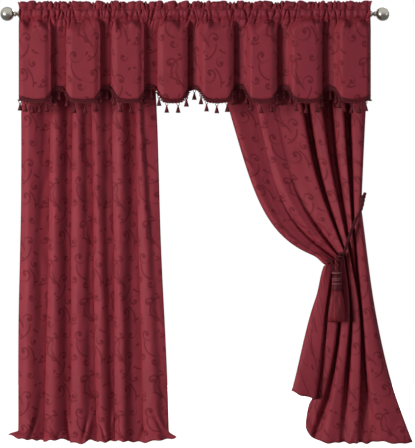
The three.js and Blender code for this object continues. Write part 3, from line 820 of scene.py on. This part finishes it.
def rightFoldLine(fold, setup):
    share, tieShare, kneeX, shinX, hemX, hemZ, browY, tieY, kneeY, hemY, _ = fold
    top = setup["top"]
    swag = setup["swag"]
    lean = blend(top["leftLean"], top["rightLean"], share)
    reach = blend(top["leftReach"], top["rightReach"], share)
    a, b, c = (np.array(p, float) for p in setup["tieLine"])
    tie = (1 - tieShare) ** 2 * a + 2 * tieShare * (1 - tieShare) * b + tieShare ** 2 * c
    angle = math.radians(swag["angle"] * (1 - tieShare) ** swag["fade"] - swag["outerAngle"])
    start = np.array([blend(top["left"], top["right"], share), panelTop["z"]])
    first = start + reach * np.array([lean, -1])
    second = tie + swag["reach"] * np.array([-math.sin(angle), math.cos(angle)])
    t = np.linspace(0, 1, setup["rowsAbove"])[:, None]
    above = (1 - t) ** 3 * start + 3 * (1 - t) ** 2 * t * first
    above = above + 3 * (1 - t) * t ** 2 * second + t ** 3 * tie
    belly = swag["belly"] * (1 - share) ** 2 * np.sin(math.pi * t[:, 0] ** 2) ** 2
    hung = blend(browY, tieY, ramp(swag["drawn"], 1, t[:, 0])) - belly
    pouch = np.exp(-((t[:, 0] - swag["pouchAt"]) / swag["pouchWidth"]) ** 2)
    pouch *= max(0, 1 - tieShare / swag["pouchTie"])
    hung = blend(hung, swag["pouchY"], pouch)
    above[:, 1] -= swag["pouchDrop"] * pouch
    aboveY = blend(panelTop["y"], hung, ramp(0, panelTop["gather"], panelTop["z"] - above[:, 1]))
    route = [tie, (kneeX, setup["kneeZ"]), (shinX, setup["shinZ"]), (hemX, hemZ)]
    below = smoothCurve(route, setup["rowsBelow"] + 1)[1:]
    down = np.linspace(0, 1, setup["rowsBelow"] + 1)[1:]
    hip, hipTie, hipStart, hipTop, hipEnd = setup["hip"]
    out = ramp(hipStart, hipTop, down) * (1 - ramp(hipTop, hipEnd, down))
    below[:, 0] -= hip * max(0, 1 - tieShare / hipTie) * out
    belowY = blend(blend(tieY, kneeY, ramp(0, setup["knee"], down)), hemY, ramp(setup["shin"], 1, down))
    plan = np.concatenate([above, below])
    return pointsFrom(plan[:, 0], np.concatenate([aboveY, belowY]), plan[:, 1])


def hangRightPanel(setup):
    lines = np.stack([rightFoldLine(fold, setup) for fold in setup["folds"]], axis=1)
    rounds = [fold[-1] for fold in setup["folds"]]
    grid = softened(foldedGrid(lines, rounds, setup["steps"]), 3)
    for k in range(setup["rounding"]):
        down = setup["roundFrom"] + setup["roundOver"] * k / setup["rounding"]
        firstRow = setup["rowsAbove"] + round(setup["rowsBelow"] * down)
        grid[firstRow:] = softened(grid[firstRow:], 1)
    addCreases(grid, setup["creases"])
    finishHem(grid, setup["ripple"])
    piece = addCloth("panelRightCloth", grid, setup["thickness"], "panel_right", window=setup["window"])


hangLeftPanel(leftPanel)
hangRightPanel(rightPanel)
print("panels hung")


# The valance: one cloth over the rod, gathered into a heading and a pocket, with eight scallops
valance = {
    "flat": (2300, 650),
    "thickness": 1.6,
    "headingZ": 61,
    "stitchZ": 24,
    "seamZ": -22,
    "hemZ": -404,
    "pocketDepth": 31,
    "pitch": 47,  # from one gather of the heading to the next
    "creaseWidths": (5.5, 3.6),  # of these gathers and of the small ones at half the pitch
    "gathered": (0.78, 0.5),  # strength of the gathers, and what a pleat near by adds
    "gatherReach": 62,
    "pocketPinch": 14,
    "ruffle": 5,
    "puff": 17,
    "frill": 2.5,
    "frillPinch": 9,
    "endFlare": 8,
    "endReach": 14,
    "fan": 17,  # the gathers under the pocket's seam stand out
    "fanReach": 30,
    "shoulder": 0.13,  # share of the drop in which a scallop fills out
    "leftX": -844,
    "rightX": 842,
    "edge": (22, -54, -22),  # inset and depth of the first crest, depth of the side edge
    # the recess beside a lip: offset from the foot, share of the way on to the lip, depth, round or sharp
    "leftRecess": [(-34, 0, -60, 1), (-3, 0, -48, 1), (4, 0, -16, 0), (0, 0.6, -10, 0)],
    "rightRecess": [(40, 0, -57, 1), (0, 0, -12, 1), (0, 0.5, -8, 0)],
    # the lip, from behind its edge: offset towards its scallop, depth, round or sharp
    "lip": [(10, -1, 0), (0, -42, 0), (34, -60, 1)],
    # x of the lip, x of the foot of its recess, x of the hem's arch, rise of the arch
    "pleats": [
        (-617, -688, -650, 56),
        (-400, -452, -421, 60),
        (-180, -243, -209, 62),
        (-34, 8, -3, 58),
        (186, 234, 214, 64),
        (394, 436, 426, 60),
        (610, 666, 648, 56),
    ],
    "arch": (12, 60),  # half width of an arch's top and of its foot
    "endRise": 14,
    "sag": 9,  # each scallop hangs lowest in its middle
    "sagReach": (20, 105),
    "steps": 14,
    "pocketRows": 12,
    "headingRows": 8,
    "skirtRows": 36,
    "measuredRows": 20,  # the last ones, which give the cloth's width for its figure
}


# Sharp gathers at an uneven pitch, each with its own lean and strength: 0 on plain cloth, 1 in a crease
def puckers(setup, x, z, pitch, width, shift):
    total = np.zeros_like(x)
    for k in range(int((setup["rightX"] - setup["leftX"]) / pitch) + 1):
        at = setup["leftX"] + (k + 0.42 * math.sin(7.1 * k + shift)) * pitch
        lean = 0.3 * math.sin(3.7 * k + 2 * shift)
        strength = 0.62 + 0.38 * math.sin(2.3 * k + shift)
        total += strength * np.exp(-((x - at - lean * z) / width) ** 2)
    return total


def valanceLines(setup):
    inset, crestY, edgeY = setup["edge"]
    lines = [(setup["leftX"], edgeY, 0), (setup["leftX"] + inset, crestY, 1)]
    for lip, foot, _, _ in setup["pleats"]:
        side = 1 if foot < lip else -1
        recess = setup["leftRecess" if side > 0 else "rightRecess"]
        pleat = [(blend(foot, lip, share) + offset, y, crest) for offset, share, y, crest in recess]
        pleat += [(lip + side * offset, y, crest) for offset, y, crest in setup["lip"]]
        lines += pleat[::side]
    lines += [(setup["rightX"] - inset, crestY, 1), (setup["rightX"], edgeY, 0)]
    return np.array(lines, float)


def hangValance(setup):
    lines = valanceLines(setup)
    flat = pointsFrom(lines[:, 0], lines[:, 1], 0)[None]
    section = softened(foldedGrid(flat, lines[:, 2], setup["steps"]), 2)[0]
    foldX, foldY = section[:, 0], section[:, 1]
    evenX = np.linspace(setup["leftX"], setup["rightX"], len(foldX))
    plainX = blend(np.sort(foldX), evenX, 0.25)
    peaks = [(x, setup["endRise"]) for x in (setup["leftX"], setup["rightX"])]
    peaks += [(archX, rise) for _, _, archX, rise in setup["pleats"]]
    top, foot = setup["arch"]
    arches = [rise * (1 - ramp(top, foot, np.abs(foldX - x))) for x, rise in peaks]
    nearest = np.min([np.abs(foldX - pleat[2]) for pleat in setup["pleats"]], axis=0)
    hemZ = setup["hemZ"] + np.max(arches, axis=0) - setup["sag"] * ramp(*setup["sagReach"], nearest)
    middles = [(pleat[0] + pleat[1]) / 2 for pleat in setup["pleats"]]
    near = np.max([np.exp(-((plainX - middle) / setup["gatherReach"]) ** 2) for middle in middles], axis=0)
    plain, more = setup["gathered"]
    bunched = plain + more * near

    def pinched(z, shift=0.4):
        wideCrease, narrowCrease = setup["creaseWidths"]
        wide = puckers(setup, plainX, z, setup["pitch"], wideCrease, shift)
        narrow = puckers(setup, plainX, z, setup["pitch"] * 0.5, narrowCrease, shift + 1.3)
        return np.minimum(bunched * (wide + 0.9 * narrow), 1.1)

    def pocketRow(share, side):
        z = blend(setup["stitchZ"], setup["seamZ"], share)
        bow = math.sin(math.pi * blend(0.06, 0.93, share)) ** 0.5
        y = side * (setup["pocketDepth"] * bow + 1.6 - setup["pocketPinch"] * bow * pinched(z))
        return pointsFrom(plainX, y, z)

    def headingRow(share, side):
        z = blend(setup["headingZ"], setup["stitchZ"], share)
        pinch = pinched(z, 2.9)
        puff = setup["puff"] * math.sin(math.pi * blend(0.1, 0.92, share)) * (1 - pinch)
        wave = setup["ruffle"] * (1 - share) * np.sin(plainX / 23 + 2 * np.sin(plainX / 71))
        y = wave + side * (1.8 + np.maximum(puff, 0))
        frill = setup["frill"] * np.sin(plainX / 12 + 3 * np.sin(plainX / 97)) - setup["frillPinch"] * pinch
        reach = setup["endReach"]
        ends = np.exp((plainX - setup["rightX"]) / reach) - np.exp((setup["leftX"] - plainX) / reach)
        x = plainX + setup["endFlare"] * (1 - share) ** 2 * ends
        return pointsFrom(x, y, z + (1 - share) ** 2 * frill)

    pocket = np.linspace(0, 1, setup["pocketRows"])
    heading = np.linspace(0, 1, setup["headingRows"])
    rows = [pocketRow(share, 1) for share in pocket[::-1]]
    rows += [headingRow(share, 1) for share in heading[::-1]][1:]
    rows += [headingRow(share, -1) for share in heading]
    rows += [pocketRow(share, -1) for share in pocket[1:]]
    shoulder = setup["shoulder"] * (1 + 0.45 * np.sin(plainX / 19 + 2 * np.sin(plainX / 61)))
    for share in np.linspace(0, 1, setup["skirtRows"] + 1)[1:] ** 1.35:
        into = ramp(0, shoulder, share) * 0.86 + 0.14 * share
        z = blend(setup["seamZ"], hemZ, share)
        loose = 1 - np.minimum(pinched(z), 1)
        fan = setup["fan"] * np.exp(-(setup["seamZ"] - z) / setup["fanReach"]) * loose
        x = blend(plainX, foldX, ramp(0, 0.2, share))
        y = blend(-2.6, foldY, into) - fan * ramp(0, 0.02, share)
        rows.append(pointsFrom(x, y, z))
    grid = np.stack(rows)
    piece = addCloth("valanceCloth", grid, setup["thickness"], "valance", -setup["measuredRows"], True)
    return grid


valanceGrid = hangValance(valance)
print("valance gathered")


# The trim: a plaited braid along the hem, with small tassels on loops, seven to a scallop
trim = {
    "height": 16,
    "lap": 1,  # how far the braid lies up over the cloth
    "standOff": 3.2,
    "samples": 640,
    "plait": 11,  # along the braid, from one plait to the next
    "plaitSlant": 3.1,
    "plaitRelief": 1.6,
    "crown": 2.2,
    "backY": 1.6,
    "picot": 1.5,
    "picotPitch": 14,
    "picotDrop": 4,
    "picotWire": 3.4,
    "perScallop": 7,
    "loopRadius": 7.5,
    "loopWire": 1.6,
    "firstGap": 0.5,  # before the first tassel, in tassels
    "lastEase": 0.97,  # the last scallop's tassels stand a little closer
    "skirtLength": 34,
    "skirtWidth": 21,
    # radius and height from the neck
    "head": [(0.6, 2.5), (2.6, 1.5), (3.4, -1.5), (2.8, -4), (3.9, -6), (4.4, -7.5)],
    # shares of the half width and of the length
    "skirt": [(0.55, 0.42), (0.8, 0.7), (1, 1)],
    "hollow": 1.5,
}


def trimPath(grid, setup):
    edge = softened(grid[-1][None], 8)[0]
    return evenly(edge, setup["samples"])


def makeBraid(path, setup):
    run = runAlong(path)
    rings = []
    across = np.linspace(0, 1, 9)
    for point, s in zip(path, run):
        wave = 2 * math.pi * s / setup["plait"]
        drop = setup["picot"] * abs(math.sin(wave / 2))
        top = point[2] + setup["lap"]
        low = point[2] + setup["lap"] - setup["height"] - drop
        front = []
        for share in across:
            plait = setup["plaitRelief"] * math.sin(wave + setup["plaitSlant"] * math.pi * share)
            bulge = plait + setup["crown"] * math.sin(math.pi * share)
            front.append((point[0], point[1] - setup["standOff"] - bulge, blend(top, low, share)))
        back = [(x, point[1] - setup["standOff"] + setup["backY"], z) for x, _, z in front[::-2]]
        rings.append((front + back)[::-1])
    return loft(rings)


def picotLoops(path, setup):
    run = runAlong(path)
    angles = np.linspace(math.pi, 2 * math.pi, 7)
    arc = pointsFrom(0.42 * setup["picotPitch"] * np.cos(angles), 0, setup["picotDrop"] * np.sin(angles))
    parts = []
    for at in np.arange(setup["picotPitch"] / 2, run[-1], setup["picotPitch"]):
        spot = spotAt(path, run, at) + (0, -setup["standOff"], setup["lap"] - setup["height"] + 1)
        parts.append(tube(arc + spot, setup["picotWire"], 6))
    return joined(parts)


def smallTassel(setup):
    length = setup["skirtLength"]
    half = setup["skirtWidth"] / 2
    loop = setup["loopRadius"]
    neck = -2 * loop - 1
    angles = np.linspace(0, 2 * math.pi, 18)
    loopPath = pointsFrom(loop * 0.8 * np.sin(angles), 0, loop * (np.cos(angles) - 1))
    profile = [(radius, neck + z) for radius, z in setup["head"]]
    profile += [(half * wide, neck - length * down) for wide, down in setup["skirt"]]
    profile += [(radius, neck - length + setup["hollow"]) for radius in (half * 0.5, 0.5)]
    return joined([tube(loopPath, setup["loopWire"], 6), turned(profile, 40, 10, 0.10)])


def hangTrim(grid, setup):
    path = trimPath(grid, setup)
    addPiece("trimBraid", makeBraid(path, setup), braidYarn, ["tassel_trim"])
    addPiece("trimLoops", picotLoops(path, setup), loopYarn)
    run = runAlong(path)
    archXs = [valance["leftX"]] + [pleat[2] for pleat in valance["pleats"]] + [valance["rightX"]]
    arches = [float(np.interp(x, path[:, 0], run)) for x in archXs]
    count = setup["perScallop"]
    shape = smallTassel(setup)
    parts = []
    for k in range(len(arches) - 1):
        for s in range(count):
            gap = setup["firstGap"] if k == 0 else 0
            share = (s + gap) / (count + gap)
            share *= setup["lastEase"] if k == len(arches) - 2 else 1
            at = blend(arches[k], arches[k + 1], share)
            spot = spotAt(path, run, at) + (0, -setup["standOff"] - 2, setup["lap"] - setup["height"] - 2)
            parts.append((shape[0] + spot, shape[1]))
    addPiece("trimTassels", joined(parts), smallYarn)


hangTrim(valanceGrid, trim)
print("trim sewn on")


# The rope tie: three twisted strands on the route of the part, from the tassel's head round the cloth
# and back
tieRope = {
    "samples": 420,
    "strands": 3,
    "strandRadius": 4.1,
    "laidRadius": 3.9,
    "lay": 62,
    "route": [
        (695, -46, -1236), (695, -46, -1216), (699, -45, -1186), (706, -43, -1160), (716, -40, -1138),
        (733, -37, -1085), (765, -36, -999), (796, -35, -936), (808, -27, -888), (815, -4, -866),
        (816, 24, -864), (808, 50, -880), (790, 62, -918), (764, 66, -980), (728, 66, -1080),
        (690, 66, -1166), (656, 58, -1192), (629, 30, -1194), (624, -6, -1192), (634, -38, -1188),
        (648, -48, -1184), (659, -48, -1202), (661, -46, -1236),
    ],
}


def twistRope(setup):
    path = smoothCurve(setup["route"], setup["samples"])
    side, up = pathSides(path)
    run = runAlong(path)
    parts = []
    for k in range(setup["strands"]):
        angle = 2 * math.pi * (run / setup["lay"] + k / setup["strands"])
        offset = side * np.cos(angle)[:, None] + up * np.sin(angle)[:, None]
        parts.append(tube(path + setup["laidRadius"] * offset, setup["strandRadius"], 8))
    addPiece("tieRopeStrands", joined(parts), ropeYarn, ["tie_rope"])


# The knot: the rope is wound round itself, and the tassel's cord crosses itself on its way to the head
tieKnot = {
    "coilFrom": (703, -50, -1146),
    "coilTo": (682, -50, -1190),
    "coilRadius": 10,
    "coilTurns": 3,
    "coilWire": 7,
    "cordX": (671, 685),
    "cordY": -52,
    "cordZ": (-1182, -1238),
    "cordRadius": 5,
    "cordCross": 4,
}


def knotTie(setup):
    start, end = (np.array(setup[k], float) for k in ("coilFrom", "coilTo"))
    share = np.linspace(0, 1, 72)
    along = (end - start) / np.linalg.norm(end - start)
    aside = np.cross(along, (0, 1, 0))
    angle = 2 * math.pi * setup["coilTurns"] * share[:, None]
    coil = blend(start, end, share[:, None])
    coil = coil + setup["coilRadius"] * (np.cos(angle) * aside + np.sin(angle) * np.array([0, -1, 0]))
    addPiece("tieKnotCoil", tube(coil, setup["coilWire"], 10), ropeYarn)
    left, right = setup["cordX"]
    share = np.linspace(0, 1, 32)
    parts = []
    for front in (1, -1):
        swing = front * (right - left) / 2 * np.cos(2 * math.pi * share)
        x = (left + right) / 2 - swing
        y = setup["cordY"] - front * setup["cordCross"] * np.sin(2 * math.pi * share)
        path = pointsFrom(x, y, blend(*setup["cordZ"], share))
        parts.append(tube(path, setup["cordRadius"], 10))
    addPiece("tasselCord", joined(parts), cordYarn)


twistRope(tieRope)
knotTie(tieKnot)


# The tie's tassel: a wound head with rings, and a skirt of many strands
tieTassel = {
    "x": 678,
    "y": -46,
    "topZ": -1236.8,
    "headLength": 94,
    "skirtLength": 144,
    # number of strands, spread, and turn as a share of the pitch, for the outer and the inner layer
    "layers": [(44, 1.0, 0.0), (32, 0.66, 0.4)],
    "strandRadius": 3.0,  # real strands are under 2 thick, and are drawn coarser so that they show
    # the skirt's half width and half depth at these shares of its length
    "skirtAt": (0, 0.45, 1),
    "skirtWide": (21, 32, 43),
    "skirtDeep": (21, 19, 18),
    "uneven": 4,
    "wobble": 1.2,
    "root": 4,  # how far the strands start inside the head
    # radius and z of the wound core
    "core": [
        (2, 0), (15, -1), (22, -3), (22, -10), (17, -13), (18, -24), (20, -30), (20, -44), (18, -47),
        (19, -52), (21, -54), (21, -62), (20, -65), (23, -70), (24, -82), (24, -90), (23, -94), (3, -94),
    ],
    # radius, z and half height
    "rings": [(22, -6, 4.2), (20, -33, 3.0), (20, -41, 3.0), (20.5, -58, 4.0)],
    "ringBulge": 2.6,
    "band": (24, -79, 11),
    "bandBulge": 1.6,
}


def ringBand(radius, z, half, bulge):
    angles = np.linspace(-math.pi / 2, math.pi / 2, 7)
    outer = [(radius + bulge * math.cos(a), z - half * math.sin(a)) for a in angles]
    return turned([(radius - 3, z + half)] + outer + [(radius - 3, z - half)], 40)


def hangTassel(setup):
    place = np.array([setup["x"], setup["y"], setup["topZ"]])

    def moved(shape):
        return shape[0] + place, shape[1]

    core = turned(setup["core"], 48, 24, 0.012)
    addPiece("tasselHead", moved(core), ropeYarn, ["tie_tassel"])
    rings = [ringBand(*ring, setup["ringBulge"]) for ring in setup["rings"]]
    addPiece("tasselRings", moved(joined(rings)), ringYarn)
    band = ringBand(*setup["band"], setup["bandBulge"])
    addPiece("tasselBand", moved(band), braidYarn)
    strands = []
    down = np.linspace(0, 1, 7)
    wide = np.interp(down, setup["skirtAt"], setup["skirtWide"])
    deep = np.interp(down, setup["skirtAt"], setup["skirtDeep"])
    for count, spread, shift in setup["layers"]:
        for k in range(count):
            angle = 2 * math.pi * (k + shift) / count
            length = setup["skirtLength"] + setup["root"] + setup["uneven"] * math.sin(k * 2.4 + shift)
            path = pointsFrom(
                spread * wide * math.cos(angle) + setup["wobble"] * np.sin(5 * down + k),
                spread * deep * math.sin(angle),
                -setup["headLength"] + setup["root"] - length * down,
            )
            strands.append(tube(path, setup["strandRadius"], 5))
    addPiece("tasselSkirt", moved(joined(strands)), skirtYarn)


hangTassel(tieTassel)
print("tie knotted")


# Ball finials, turned and plated, over the plain solids at the rod's ends
finial = {
    "rodEnd": 850.4,
    # radius and distance from the rod's end, up to the ball
    "neck": [(0.5, 0), (8.5, 0.2), (8.5, 8.4), (11.5, 9.6), (13, 11), (13, 15.4), (12, 16.4), (8.5, 17.2)],
    "ballRadius": 33.5,
    "ballAt": 50.6,
}


def turnFinial(name, side, setup):
    radius = setup["ballRadius"]
    profile = list(setup["neck"])
    first = math.asin(profile[-1][0] / radius)
    for angle in np.linspace(first, math.pi - 0.02, 30):
        profile.append((radius * math.sin(angle), setup["ballAt"] - radius * math.cos(angle)))
    points, faces = turned(profile, 56)
    laid = pointsFrom(side * (points[:, 2] + setup["rodEnd"]), points[:, 0], points[:, 1])
    if side < 0:
        faces = [face[::-1] for face in faces]
    addPiece(name + "Ball", (laid, faces), nickelPlate, [name])


turnFinial("finial_left", -1, finial)
turnFinial("finial_right", 1, finial)
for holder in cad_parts["rod"].material_slots:
    holder.material = nickelPlate
print("finials turned")
